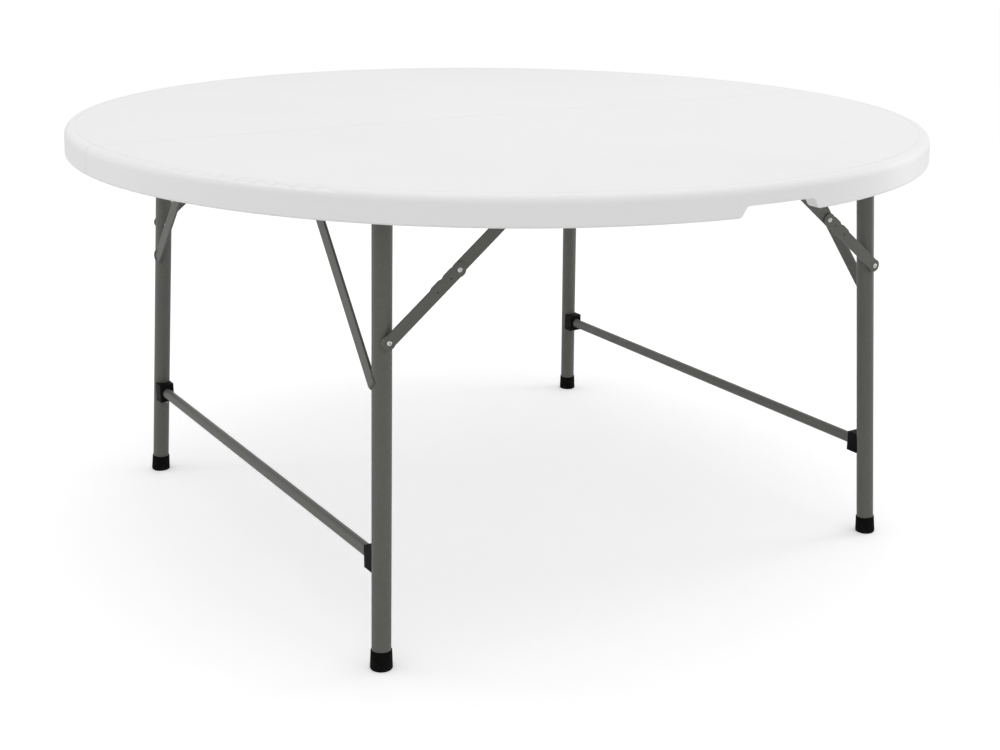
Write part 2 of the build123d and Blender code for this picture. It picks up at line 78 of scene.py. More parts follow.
lens = bpy.data.cameras.new("camera")
lens.sensor_width = SENSOR_WIDTH
lens.lens = focal_pixels / FRAME_WIDTH * SENSOR_WIDTH
lens.shift_x = (FRAME_WIDTH / 2 - lens_centre[0]) / FRAME_WIDTH
lens.shift_y = (lens_centre[1] - FRAME_HEIGHT / 2) / FRAME_WIDTH
camera = bpy.data.objects.new("camera", lens)
turn = Matrix((camera_right, camera_up, -forward)).transposed().to_4x4()
camera.matrix_world = Matrix.Translation(camera_place) @ turn
bpy.context.scene.collection.objects.link(camera)
bpy.context.scene.camera = camera
print("lens", round(lens.lens, 2), "mm, shift", round(lens.shift_x, 4), round(lens.shift_y, 4))

# %% [markdown]
# ## Nodes in few words
# Materials and Geometry Nodes are both trees of nodes. These helpers place a node, join two sockets, and
# start a tree with named inputs and outputs, so that each tree below reads as a short recipe.

# %% Helpers for node trees
MIX_FACTOR, MIX_FIRST, MIX_SECOND, MIX_RESULT = 0, 6, 7, 2


def put(tree, kind, values=None, **settings):
    item = tree.nodes.new(kind)
    for name, value in settings.items():
        setattr(item, name, value)
    for name, value in (values or {}).items():
        if isinstance(value, bpy.types.NodeSocket):
            tree.links.new(value, item.inputs[name])
        else:
            item.inputs[name].default_value = value
    return item


def maths(tree, operation, *terms):
    return put(tree, "ShaderNodeMath", dict(enumerate(terms)), operation=operation).outputs[0]


def spread(tree, value, low, high, to_low=0.0, to_high=1.0):
    limits = {"Value": value, "From Min": low, "From Max": high, "To Min": to_low, "To Max": to_high}
    return put(tree, "ShaderNodeMapRange", limits).outputs["Result"]


def start_tree(name, kind, inputs, outputs):
    tree = bpy.data.node_groups.new(name, kind)
    for label, socket_type, value in inputs:
        socket = tree.interface.new_socket(label, in_out="INPUT", socket_type=socket_type)
        if value is not None:
            socket.default_value = value
    for label, socket_type in outputs:
        tree.interface.new_socket(label, in_out="OUTPUT", socket_type=socket_type)
    return tree, put(tree, "NodeGroupInput").outputs, put(tree, "NodeGroupOutput").inputs


NUMBER, GEOMETRY = "NodeSocketFloat", "NodeSocketGeometry"

# %% [markdown]
# ## Light, floor and backdrop
# The photograph was lit by a large soft tent: the top is evenly pale and the legs show soft upright
# streaks. A pale world gives the tent, a wide lamp overhead lifts the top a little above the rim, and two
# tall panels draw the streaks on the tubes. The floor is pale. To the camera it glows so far that the
# shadow under the table stays as faint as in the photograph.

# %% Light and floor
bpy.context.scene.view_settings.view_transform = "Standard"
tent_strength = 0.80
floor_glow = 0.24
floor_seen = 0.95
floor_bounce = 0.80
floor_half = 16.0


def panel_light(name, place, target, size, height, watts):
    lamp = bpy.data.lights.new(name, "AREA")
    lamp.shape = "RECTANGLE"
    lamp.size, lamp.size_y, lamp.energy = size, height, watts
    holder = bpy.data.objects.new(name, lamp)
    holder.location = place
    holder.rotation_euler = (Vector(target) - Vector(place)).to_track_quat("-Z", "Y").to_euler()
    bpy.context.scene.collection.objects.link(holder)


panel_light("overhead", (0.0, -0.3, 3.2), (0.0, 0.0, 0.7), 3.0, 3.0, 17.0)
panel_light("right_panel", (2.8, -0.7, 1.1), (0.3, 0.0, 0.5), 0.9, 2.0, 12.5)
panel_light("left_panel", (-2.6, 1.6, 1.2), (-0.3, 0.0, 0.5), 0.7, 2.0, 6.5)

world = bpy.data.worlds.new("tent")
bpy.context.scene.world = world
world.use_nodes = True
sky = world.node_tree
sky.nodes.clear()
rays = put(sky, "ShaderNodeLightPath").outputs
seen = maths(sky, "MAXIMUM", rays["Is Camera Ray"], rays["Is Transmission Ray"])
strength = spread(sky, seen, 0.0, 1.0, tent_strength, 1.0)
glow = put(sky, "ShaderNodeBackground", {"Color": (1.0, 1.0, 1.0, 1.0), "Strength": strength})
put(sky, "ShaderNodeOutputWorld", {"Surface": glow.outputs[0]})

bpy.ops.mesh.primitive_plane_add(size=floor_half * 2)
floor = bpy.context.object
floor.name = "floor"
paint = bpy.data.materials.new("pale_floor")
paint.use_nodes = True
tree = paint.node_tree
tree.nodes.clear()
rays = put(tree, "ShaderNodeLightPath").outputs
matt = put(tree, "ShaderNodeBsdfDiffuse", {"Color": (floor_bounce, floor_bounce, floor_bounce, 1.0)})
faint = put(tree, "ShaderNodeBsdfDiffuse", {"Color": (floor_seen, floor_seen, floor_seen, 1.0)})
lit = put(tree, "ShaderNodeEmission", {"Color": (1.0, 1.0, 1.0, 1.0), "Strength": floor_glow})
shown = put(tree, "ShaderNodeAddShader", {0: faint.outputs[0], 1: lit.outputs[0]})
seen = maths(tree, "MAXIMUM", rays["Is Camera Ray"], rays["Is Transmission Ray"])
both = put(tree, "ShaderNodeMixShader", {0: seen, 1: matt.outputs[0], 2: shown.outputs[0]})
put(tree, "ShaderNodeOutputMaterial", {"Surface": both.outputs[0]})
floor.data.materials.append(paint)
print("lamps", [item.name for item in bpy.data.lights])

# %% [markdown]
# ## Effects that several finishes share
# Moulded skin, powder coat and plated steel differ in size and depth of the same few effects: a fine
# grain, slow patches of tone, thin scuffs, and wear where an edge sticks out. Each is a node group with
# named inputs, built once. Wear reads how sharply the surface turns, so it follows real edges.

# %% Shared surface effects
def noise_at(tree, coordinates, scale, detail):
    values = {"Vector": coordinates, "Scale": scale, "Detail": detail}
    return put(tree, "ShaderNodeTexNoise", values).outputs["Fac"]


def object_space(tree):
    return put(tree, "ShaderNodeTexCoord").outputs["Object"]


grain, given, result = start_tree(
    "fine_grain", "ShaderNodeTree", [("Scale", NUMBER, 600.0), ("Pits", NUMBER, 0.3)], [("Height", NUMBER)]
)
space = object_space(grain)
bumps = noise_at(grain, space, given["Scale"], 3.0)
cells = put(grain, "ShaderNodeTexVoronoi", {"Vector": space, "Scale": given["Scale"]}).outputs["Distance"]
pits = maths(grain, "MULTIPLY", cells, given["Pits"])
grain.links.new(maths(grain, "SUBTRACT", bumps, pits), result["Height"])

patches, given, result = start_tree(
    "slow_patches", "ShaderNodeTree", [("Scale", NUMBER, 4.0), ("Share", NUMBER, 1.0)], [("Mask", NUMBER)]
)
cloud = noise_at(patches, object_space(patches), given["Scale"], 4.0)
cloud = spread(patches, cloud, 0.35, 0.65)
patches.links.new(maths(patches, "MULTIPLY", cloud, given["Share"]), result["Mask"])

scuffs, given, result = start_tree(
    "thin_scuffs", "ShaderNodeTree", [("Scale", NUMBER, 12.0), ("Share", NUMBER, 1.0)], [("Mask", NUMBER)]
)
stretch = put(scuffs, "ShaderNodeMapping", {"Vector": object_space(scuffs), "Scale": (1.0, 9.0, 2.0)})
stretch.inputs["Rotation"].default_value = (0.2, 0.4, 0.6)
lines = noise_at(scuffs, stretch.outputs[0], given["Scale"], 6.0)
ridge = maths(scuffs, "ABSOLUTE", maths(scuffs, "SUBTRACT", lines, 0.5))
line_mask = spread(scuffs, ridge, 0.0, 0.006, 1.0, 0.0)
where = spread(scuffs, noise_at(scuffs, object_space(scuffs), given["Scale"], 2.0), 0.52, 0.62)
line_mask = maths(scuffs, "MULTIPLY", line_mask, where)
scuffs.links.new(maths(scuffs, "MULTIPLY", line_mask, given["Share"]), result["Mask"])

wear, given, result = start_tree(
    "edge_wear", "ShaderNodeTree", [("Scale", NUMBER, 150.0), ("Share", NUMBER, 1.0)], [("Mask", NUMBER)]
)
turned_by = put(wear, "ShaderNodeNewGeometry").outputs["Pointiness"]
edge = spread(wear, turned_by, 0.60, 0.74)
broken = spread(wear, noise_at(wear, object_space(wear), given["Scale"], 4.0), 0.42, 0.62)
edge = maths(wear, "MULTIPLY", edge, broken)
wear.links.new(maths(wear, "MULTIPLY", edge, given["Share"]), result["Mask"])
print("effects", grain.name, patches.name, scuffs.name, wear.name)

# %% [markdown]
# ## Finishes
# Five finishes cover the table. The top is white polyethylene with a fine moulded skin. The steel is
# powder coated in an olive grey with a slight orange peel, worn paler on its edges. The saddles are black
# plastic, the feet black rubber that gathers a little floor dust, and the rivets and screws are zinc
# plated. Both blacks shine less than clear plastic would, because in the photograph they stay near black.

# %% Finishes
def effect(tree, group, **values):
    item = put(tree, "ShaderNodeGroup", node_tree=group)
    for name, value in values.items():
        item.inputs[name].default_value = value
    return item.outputs[0]


def mixed(tree, factor, first, second):
    item = put(tree, "ShaderNodeMix", data_type="RGBA")
    for place, value in ((MIX_FACTOR, factor), (MIX_FIRST, first), (MIX_SECOND, second)):
        if isinstance(value, bpy.types.NodeSocket):
            tree.links.new(value, item.inputs[place])
        else:
            item.inputs[place].default_value = value
    return item.outputs[MIX_RESULT]


def shade(grey_red, grey_green, grey_blue):
    return (grey_red, grey_green, grey_blue, 1.0)


dust_height = 0.03
scuff_roughness = 0.12


def finish(name, colour, patch_colour, worn_colour, gloss, grain_scale, grain_depth, pits=0.3,
           patch_scale=4.0, wear_share=0.0, scuff_share=0.0, metallic=0.0, shine=0.5, dust=None):
    paint = bpy.data.materials.new(name)
    paint.use_nodes = True
    tree = paint.node_tree
    tree.nodes.clear()
    patch = effect(tree, patches, Scale=patch_scale, Share=1.0)
    tone = mixed(tree, patch, colour, patch_colour)
    if wear_share:
        tone = mixed(tree, effect(tree, wear, Scale=150.0, Share=wear_share), tone, worn_colour)
    if dust:
        height = put(tree, "ShaderNodeSeparateXYZ", {0: object_space(tree)}).outputs["Z"]
        near_floor = spread(tree, height, 0.0, dust_height, 1.0, 0.0)
        powder = effect(tree, patches, Scale=90.0, Share=0.8)
        tone = mixed(tree, maths(tree, "MULTIPLY", near_floor, powder), tone, dust)
    scuff = effect(tree, scuffs, Scale=12.0, Share=scuff_share)
    matt = spread(tree, patch, 0.0, 1.0, gloss[0], gloss[1])
    matt = maths(tree, "ADD", matt, maths(tree, "MULTIPLY", scuff, scuff_roughness))
    height = effect(tree, grain, Scale=grain_scale, Pits=pits)
    bump = put(tree, "ShaderNodeBump", {"Height": height, "Strength": 1.0, "Distance": grain_depth})
    skin = {"Base Color": tone, "Roughness": matt, "Metallic": metallic, "Specular IOR Level": shine,
            "Normal": bump.outputs[0]}
    surface = put(tree, "ShaderNodeBsdfPrincipled", skin)
    put(tree, "ShaderNodeOutputMaterial", {"Surface": surface.outputs[0]})
    return paint


finishes = {
    "white_plastic": finish(
        "white_plastic", shade(0.875, 0.875, 0.872), shade(0.850, 0.851, 0.850), shade(0.92, 0.92, 0.92),
        (0.42, 0.52), 900.0, 0.05 * MM, pits=0.5, patch_scale=2.2, wear_share=0.4, scuff_share=0.6),
    "grey_powder_coat": finish(
        "grey_powder_coat", shade(0.100, 0.101, 0.090), shade(0.105, 0.105, 0.094), shade(0.16, 0.16, 0.145),
        (0.40, 0.43), 900.0, 0.012 * MM, pits=0.1, patch_scale=5.0, wear_share=0.4, scuff_share=0.25),
    "black_plastic": finish(
        "black_plastic", shade(0.004, 0.004, 0.004), shade(0.006, 0.006, 0.006), shade(0.018, 0.018, 0.018),
        (0.45, 0.6), 1500.0, 0.04 * MM, patch_scale=60.0, wear_share=0.6, scuff_share=0.5, shine=0.07),
    "black_rubber": finish(
        "black_rubber", shade(0.003, 0.003, 0.003), shade(0.005, 0.005, 0.005), shade(0.012, 0.012, 0.012),
        (0.62, 0.8), 1100.0, 0.05 * MM, patch_scale=70.0, scuff_share=0.3, shine=0.05,
        dust=shade(0.012, 0.011, 0.010)),
    "zinc_steel": finish(
        "zinc_steel", shade(0.80, 0.80, 0.79), shade(0.70, 0.70, 0.68), shade(0.86, 0.86, 0.86),
        (0.26, 0.42), 1300.0, 0.03 * MM, patch_scale=160.0, wear_share=0.5, scuff_share=0.8, metallic=1.0),
}
for name, node in nodes.items():
    node.data.materials.clear()
    node.data.materials.append(finishes[slot_of[name]])
print("finishes", sorted(finishes))

# %% [markdown]
# ## Helpers for pieces
# A piece that stands for a solid starts from a merged copy of it, so the two always agree. Large flat
# faces should look flat right up to a rounded edge, so the shading of each corner leans towards the
# biggest flat area that meets there.

# %% Helpers for pieces
MERGE = 0.002 * MM


def new_piece(name, mesh, slot):
    piece = bpy.data.objects.new(name, mesh)
    bpy.context.scene.collection.objects.link(piece)
    mesh.materials.clear()
    mesh.materials.append(finishes[slot])
    return piece


def merged_copy(node):
    shape = bmesh.new()
    shape.from_mesh(nodes[node].data)
    bmesh.ops.remove_doubles(shape, verts=shape.verts, dist=MERGE)
    return shape


def to_mesh(shape, name):
    mesh = bpy.data.meshes.new(name)
    shape.to_mesh(mesh)
    shape.free()
    return mesh


def plane_key(face):
    normal = face.normal
    distance = normal.dot(face.center)
    return tuple(round(value, 3) for value in normal) + (round(distance, 4),)


def smooth_corners(mesh, sharp_angle=radians(34.0)):
    limit = cos(sharp_angle)
    areas = {}
    keys = [plane_key(face) for face in mesh.polygons]
    for key, face in zip(keys, mesh.polygons):
        areas[key] = areas.get(key, 0.0) + face.area
    around = [[] for vertex in mesh.vertices]
    for face in mesh.polygons:
        for corner in face.vertices:
            around[corner].append(face.index)
    faces = [(face.normal.copy(), areas[key] ** 2) for face, key in zip(mesh.polygons, keys)]
    corners = [Vector((0.0, 0.0, 1.0))] * len(mesh.loops)
    for face in mesh.polygons:
        own = faces[face.index][0]
        for loop in face.loop_indices:
            total = Vector()
            for other in around[mesh.loops[loop].vertex_index]:
                normal, weight = faces[other]
                if normal.dot(own) > limit:
                    total += normal * weight
            corners[loop] = total.normalized() if total.length else own
    mesh.shade_smooth()
    mesh.normals_split_custom_set(corners)


def plain_mesh(piece):
    depsgraph = bpy.context.evaluated_depsgraph_get()
    mesh = bpy.data.meshes.new_from_object(piece.evaluated_get(depsgraph), depsgraph=depsgraph)
    piece.modifiers.clear()
    piece.data = mesh
    return piece


def keep(piece, body, slot, *replaced):
    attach(piece, body)
    if replaced:
        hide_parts(*replaced)
    triangles = sum(len(face.vertices) - 2 for face in piece.data.polygons)
    print(piece.name, "rides on", body, "with", triangles, "triangles")


def set_inputs(modifier, values):
    for item in modifier.node_group.interface.items_tree:
        if item.in_out == "INPUT" and item.name in values:
            modifier[item.identifier] = values[item.name]


def grow(piece, tree, values):
    modifier = piece.modifiers.new(tree.name, "NODES")
    modifier.node_group = tree
    set_inputs(modifier, values)
    return plain_mesh(piece)


def solid_boxes(node):
    # Lowest and highest corner of each separate solid of a node
    shape = merged_copy(node)
    waiting = set(shape.verts)
    boxes = []
    while waiting:
        found = [waiting.pop()]
        island = []
        while found:
            vertex = found.pop()
            island.append(vertex.co.copy())
            for edge in vertex.link_edges:
                other = edge.other_vert(vertex)
                if other in waiting:
                    waiting.remove(other)
                    found.append(other)
        low = Vector(min(co[axis] for co in island) for axis in range(3))
        high = Vector(max(co[axis] for co in island) for axis in range(3))
        boxes.append((low, high))
    shape.free()
    return sorted(boxes, key=lambda box: tuple(box[0]))


# %% [markdown]
# ## Underside of the half tops
# A blow moulded top is two thin walls, and rows of cone shaped dimples pinch the lower wall up against
# the upper one. They repeat, so Geometry Nodes lay them out: a staggered grid, cleared at the rim, the
# seam, the rails and the brackets, carries one cone on each point, and the cones are cut from the half.

# %% Tree for the dimples
dimples, given, result = start_tree(
    "moulded_dimples",
    "GeometryNodeTree",
    [
        ("Half Top", GEOMETRY, None),
        ("Pitch", NUMBER, 50 * MM),
        ("Columns", "NodeSocketInt", 29),
        ("Rows", "NodeSocketInt", 15),
        ("Side", NUMBER, 1.0),
        ("Mouth Radius", NUMBER, 10.5 * MM),
        ("Floor Radius", NUMBER, 5.0 * MM),
        ("Depth", NUMBER, 13.0 * MM),
        ("Underside", NUMBER, 0.72),
        ("Field Radius", NUMBER, 0.70),
        ("Seam Margin", NUMBER, 42 * MM),
        ("Rail Reach", NUMBER, 0.4948),
        ("Rail Margin", NUMBER, 24 * MM),
        ("Bracket Reach", NUMBER, 0.11),
        ("Bracket Side", NUMBER, 0.448),
        ("Bracket Margin", NUMBER, 36 * MM),
        ("Finish", "NodeSocketMaterial", None),
    ],
    [("Geometry", GEOMETRY)],
)
# Each cone starts a little below the face, so that the cut leaves no skin
cone_overlap = 0.5 * MM
row_pitch = maths(dimples, "MULTIPLY", given["Pitch"], sqrt(3.0) / 2.0)
wide = maths(dimples, "MULTIPLY", given["Pitch"], maths(dimples, "SUBTRACT", given["Columns"], 1.0))
deep = maths(dimples, "MULTIPLY", row_pitch, maths(dimples, "SUBTRACT", given["Rows"], 1.0))
lattice = put(dimples, "GeometryNodeMeshGrid", {
    "Size X": wide, "Size Y": deep, "Vertices X": given["Columns"], "Vertices Y": given["Rows"]})
row = maths(dimples, "MODULO", put(dimples, "GeometryNodeInputIndex").outputs[0], given["Rows"])
odd = maths(dimples, "MODULO", row, 2.0)
half_pitch = maths(dimples, "MULTIPLY", given["Pitch"], 0.5)
stagger = maths(dimples, "MULTIPLY", maths(dimples, "SUBTRACT", odd, 0.5), half_pitch)
first_row = maths(dimples, "ADD", maths(dimples, "MULTIPLY", deep, 0.5), given["Seam Margin"])
to_half = maths(dimples, "MULTIPLY", first_row, given["Side"])
below = maths(dimples, "SUBTRACT", given["Underside"], cone_overlap)
offset = put(dimples, "ShaderNodeCombineXYZ", {"X": stagger, "Y": to_half, "Z": below})
spots = put(dimples, "GeometryNodeSetPosition", {
    "Geometry": lattice.outputs["Mesh"], "Offset": offset.outputs[0]})
position = put(dimples, "GeometryNodeInputPosition").outputs[0]
place = put(dimples, "ShaderNodeSeparateXYZ", {0: position}).outputs
across = maths(dimples, "ABSOLUTE", place["X"])
reach = maths(dimples, "ABSOLUTE", place["Y"])
squares = maths(dimples, "ADD", maths(dimples, "POWER", across, 2.0), maths(dimples, "POWER", reach, 2.0))
radius = maths(dimples, "SQRT", squares)


def near(value, centre, margin):
    gap = maths(dimples, "ABSOLUTE", maths(dimples, "SUBTRACT", value, centre))
    return maths(dimples, "LESS_THAN", gap, margin)


beyond = maths(dimples, "GREATER_THAN", radius, given["Field Radius"])
at_rail = near(reach, given["Rail Reach"], given["Rail Margin"])
at_bracket = maths(
    dimples, "MULTIPLY",
    near(reach, given["Bracket Reach"], given["Bracket Margin"]),
    near(across, given["Bracket Side"], given["Bracket Margin"]))
cleared = maths(dimples, "MAXIMUM", beyond, maths(dimples, "MAXIMUM", at_rail, at_bracket))
spots = put(dimples, "GeometryNodeDeleteGeometry", {
    "Geometry": spots.outputs[0], "Selection": cleared}, domain="POINT")
cone = put(dimples, "GeometryNodeMeshCone", {
    "Vertices": 18, "Radius Top": given["Floor Radius"], "Radius Bottom": given["Mouth Radius"],
    "Depth": given["Depth"]})
cones = put(dimples, "GeometryNodeInstanceOnPoints", {
    "Points": spots.outputs[0], "Instance": cone.outputs["Mesh"]})
cones = put(dimples, "GeometryNodeRealizeInstances", {"Geometry": cones.outputs[0]})
cut = put(dimples, "GeometryNodeMeshBoolean", {"Mesh 1": given["Half Top"], "Mesh 2": cones.outputs[0]},
          operation="DIFFERENCE", solver="MANIFOLD")
painted = put(dimples, "GeometryNodeSetMaterial", {"Geometry": cut.outputs[0], "Material": given["Finish"]})
dimples.links.new(painted.outputs[0], result["Geometry"])

# %% Half tops with their dimples
for node, side in (("front_half_top", -1.0), ("rear_half_top", 1.0)):
    mesh = to_mesh(merged_copy(node), node + "_moulding")
    piece = new_piece(node + "_moulding", mesh, "white_plastic")
    grow(piece, dimples, {"Side": side, "Finish": finishes["white_plastic"]})
    smooth_corners(piece.data)
    keep(piece, "top", "white_plastic", node)

# %% [markdown]
# ## Sheet steel with rounded edges
# Stamped arms, bars, rails and brackets never have knife edges: the press rounds them, and powder coat
# rounds them again. A narrow bevel on a merged copy of each solid gives the thin bright line that the
# photograph shows along the brace arms.

# %% Rounded copies of the stamped and moulded pieces
bevel_width = {"grey_powder_coat": 0.45 * MM, "black_plastic": 0.9 * MM, "zinc_steel": 0.35 * MM}
stamped_kinds = ("lower_arm", "upper_arm", "diagonal", "side_rail", "pivot_brackets", "hinge_leaves", "saddles")
stamped = [name for name in nodes if name.endswith(stamped_kinds)]
for node in sorted(stamped):
    shape = merged_copy(node)
    bmesh.ops.dissolve_limit(shape, angle_limit=radians(0.6), verts=shape.verts, edges=shape.edges)
    piece = new_piece(node + "_pressing", to_mesh(shape, node + "_pressing"), slot_of[node])
    bevel = piece.modifiers.new("bevel", "BEVEL")
    bevel.width = bevel_width[slot_of[node]]
    bevel.segments = 2
    bevel.limit_method = "ANGLE"
    bevel.angle_limit = radians(38.0)
    plain_mesh(piece)
    smooth_corners(piece.data)
    keep(piece, body_of[node], slot_of[node], node)

# %% [markdown]
# ## Fasteners
# Screws and rivets repeat, so one tree sets them all: it copies a fastener onto each point, faces it the
# way the point says, and gives it a random turn about its own length from a fixed seed. The screw is a
# turned pan head with a cross cut into it. The rivet head is turned too, with the hollow middle that a
# semi tubular rivet keeps.

# %% Tree that sets fasteners
setting, given, result = start_tree(
    "set_fasteners",
    "GeometryNodeTree",
    [
        ("Places", GEOMETRY, None),
        ("Fastener", "NodeSocketObject", None),
        ("Turn Seed", "NodeSocketInt", 3),
        ("Finish", "NodeSocketMaterial", None),
    ],
    [("Geometry", GEOMETRY)],
)
source = put(setting, "GeometryNodeObjectInfo", {"Object": given["Fastener"]})
facing = put(setting, "GeometryNodeInputNamedAttribute", {"Name": "facing"}, data_type="FLOAT_VECTOR")
aimed = put(setting, "FunctionNodeAlignRotationToVector", {"Vector": facing.outputs["Attribute"]}, axis="Z")
chance = put(setting, "FunctionNodeRandomValue", data_type="FLOAT")
chance.inputs[2].default_value = 0.0
chance.inputs[3].default_value = 2.0 * pi
setting.links.new(given["Turn Seed"], chance.inputs["Seed"])
spin = put(setting, "FunctionNodeAxisAngleToRotation", {"Axis": (0.0, 0.0, 1.0), "Angle": chance.outputs[1]})
turned_way = put(setting, "FunctionNodeRotateRotation", {
    "Rotation": aimed.outputs[0], "Rotate By": spin.outputs[0]}, rotation_space="LOCAL")
copies = put(setting, "GeometryNodeInstanceOnPoints", {
    "Points": given["Places"], "Instance": source.outputs["Geometry"], "Rotation": turned_way.outputs[0]})
copies = put(setting, "GeometryNodeRealizeInstances", {"Geometry": copies.outputs[0]})
painted = put(setting, "GeometryNodeSetMaterial", {"Geometry": copies.outputs[0], "Material": given["Finish"]})
setting.links.new(painted.outputs[0], result["Geometry"])


# %% Turned shapes
def turned(outline, sides):
    # The outline runs from the bottom to the top as pairs of radius and height
    shape = bmesh.new()
    rings = []
    for radius, height in outline:
        angles = [0.0] if radius == 0.0 else [2.0 * pi * step / sides for step in range(sides)]
        rings.append([shape.verts.new((radius * cos(a), radius * sin(a), height)) for a in angles])
    for low, high in zip(rings, rings[1:]):
        for step in range(sides):
            after = (step + 1) % sides
            corners = [low[step % len(low)], low[after % len(low)]]
            corners += [high[after % len(high)], high[step % len(high)]]
            shape.faces.new(dict.fromkeys(corners))
    return shape


def in_mm(outline):
    return [(radius * MM, height * MM) for radius, height in outline]


def hidden_source(name, shape):
    mesh = to_mesh(shape, name)
    source = bpy.data.objects.new(name, mesh)
    bpy.context.scene.collection.objects.link(source)
    return source


def drop(source):
    mesh = source.data
    bpy.data.objects.remove(source)
    bpy.data.meshes.remove(mesh)


def set_fasteners(name, source, places, body, seed, *replaced):
    mesh = bpy.data.meshes.new(name)
    mesh.from_pydata([spot for spot, way in places], [], [])
    facing = mesh.attributes.new("facing", "FLOAT_VECTOR", "POINT")
    for index, (spot, way) in enumerate(places):
        facing.data[index].vector = way
    piece = new_piece(name, mesh, "zinc_steel")
    grow(piece, setting, {"Fastener": source, "Turn Seed": seed, "Finish": finishes["zinc_steel"]})
    smooth_corners(piece.data)
    keep(piece, body, "zinc_steel", *replaced)
    print(name, "at", len(places), "places")


# %% Screws with a cross cut in the head
SCREW_HEAD = 2.0


def screw_source(shank_radius, shank_length):
    shank = [
        (0.0, -shank_length), (shank_radius * 0.5, -shank_length), (shank_radius, -shank_length + 1.6),
        (shank_radius, -0.02)]
    head = [(3.95, -0.02), (4.0, 0.25), (3.9, 0.8), (3.5, 1.35), (2.8, 1.75), (1.6, 1.97), (0.0, SCREW_HEAD)]
    blank = hidden_source("screw_blank", turned(in_mm(shank + head), 24))
    cross = bmesh.new()
    for length, width in ((4.4, 0.95), (0.95, 4.4)):
        block = bmesh.ops.create_cube(cross, size=1.0)["verts"]
        for vertex in block:
            narrowing = 1.0 if vertex.co.z > 0.0 else 0.35
            vertex.co.x *= length * MM * (narrowing if length > width else 1.0)
            vertex.co.y *= width * MM * (narrowing if width > length else 1.0)
            vertex.co.z = (2.6 if vertex.co.z > 0.0 else 0.55) * MM
    cutter = hidden_source("cross_cutter", cross)
    cut = blank.modifiers.new("cross", "BOOLEAN")
    cut.operation, cut.object, cut.solver, cut.use_self = "DIFFERENCE", cutter, "EXACT", True
    plain_mesh(blank)
    drop(cutter)
    return blank


def screw_places(node):
    # The seat of a screw that stands head down, a head's height above its lowest point
    places = []
    for low, high in solid_boxes(node):
        middle = (low + high) / 2.0
        seat = Vector((middle.x, middle.y, low.z + SCREW_HEAD * MM))
        places.append((seat, Vector((0.0, 0.0, -1.0))))
    return places


screw = screw_source(2.4, 12.0)
for seed, node in enumerate(("rail_screws", "bracket_screws", "hinge_screws")):
    set_fasteners(node + "_crossed", screw, screw_places(node), "top", seed, node)
drop(screw)
screw = screw_source(2.0, 12.0)
for seed, side in enumerate(("left", "right")):
    node = side + "_saddle_screws"
    set_fasteners(node + "_crossed", screw, screw_places(node), side + "_frame", seed, node)
drop(screw)


# %% Rivets with a hollow head
HEAD_HEIGHT = 2.5
HOLLOW_HEAD = [(4.2, 0.0), (4.25, 0.3), (4.1, 0.9), (3.6, 1.6), (2.9, 2.15), (2.3, 2.45), (1.9, 2.5),
               (1.6, 2.35), (1.45, 1.9), (1.35, 0.3), (0.0, 0.2)]


def rivet_source(name, below):
    return hidden_source(name, turned(in_mm(below + HOLLOW_HEAD), 28))


def rivet_place(low, high):
    # Heads face away from the middle of the table
    outward = -1.0 if low.y < 0.0 else 1.0
    head_top = low.y if outward < 0.0 else high.y
    middle = (low + high) / 2.0
    seat = Vector((middle.x, head_top - outward * HEAD_HEIGHT * MM, middle.z))
    return seat, Vector((0.0, outward, 0.0))


knee_length = 3.0
knee_below = [(0.0, -knee_length), (3.0, -knee_length), (3.0, 0.0)]
source = rivet_source("knee_rivet_source", knee_below)
for side in ("left", "right"):
    for end in ("front", "rear"):
        node = side + "_" + end + "_knee_rivet"
        places = [rivet_place(*box) for box in solid_boxes(node)]
        set_fasteners(node + "_hollow", source, places, body_of[node], 1, node)
drop(source)
arm_and_play = 3.6
spacer_bottom = arm_and_play + 3.0
for side in ("left", "right"):
    node = side + "_leg_rivets"
    boxes = solid_boxes(node)
    length = (boxes[0][1].y - boxes[0][0].y) / MM - HEAD_HEIGHT
    leg_below = [
        (0.0, -length), (1.6, -length), (3.4, -length + 0.4), (4.2, -length + 1.5), (3.0, -length + 1.5),
        (3.0, -spacer_bottom), (6.5, -spacer_bottom), (6.5, -arm_and_play), (3.0, -arm_and_play), (3.0, 0.0)]
    source = rivet_source("leg_rivet_source", leg_below)
    set_fasteners(node + "_hollow", source, [rivet_place(*box) for box in boxes], side + "_frame", 2, node)
    drop(source)

# %% [markdown]
# ## Weld beads
# Each leg is welded to its pivot tube, and each diagonal to a leg at its foot and to a pivot tube by its
# tab. A weld is a row of overlapping ripples along the line where two surfaces meet. That line is worked
# out from the two surfaces, and the tree sweeps a round section along it whose size swells once for each
# ripple.

# %% Tree for a weld bead
welding, given, result = start_tree(
    "weld_bead",
    "GeometryNodeTree",
    [
        ("Seams", GEOMETRY, None),
        ("Bead Radius", NUMBER, 1.9 * MM),
        ("Ripple Length", NUMBER, 2.2 * MM),
        ("Ripple Share", NUMBER, 0.16),
        ("Wander Seed", NUMBER, 4.0),
        ("Finish", "NodeSocketMaterial", None),
    ],
    [("Geometry", GEOMETRY)],
)
path = put(welding, "GeometryNodeMeshToCurve", {"Mesh": given["Seams"]})
step_length = maths(welding, "DIVIDE", given["Ripple Length"], 5.0)
path = put(welding, "GeometryNodeResampleCurve", {
    "Curve": path.outputs[0], "Length": step_length}, mode="LENGTH")
along = put(welding, "GeometryNodeSplineParameter").outputs["Length"]
ripples = maths(welding, "DIVIDE", along, given["Ripple Length"])
wave = maths(welding, "SINE", maths(welding, "MULTIPLY", ripples, 2.0 * pi))
swell = maths(welding, "MULTIPLY", wave, given["Ripple Share"])
wander = put(welding, "ShaderNodeTexNoise", {
    "Scale": 300.0, "Detail": 2.0, "W": given["Wander Seed"]}, noise_dimensions="4D")
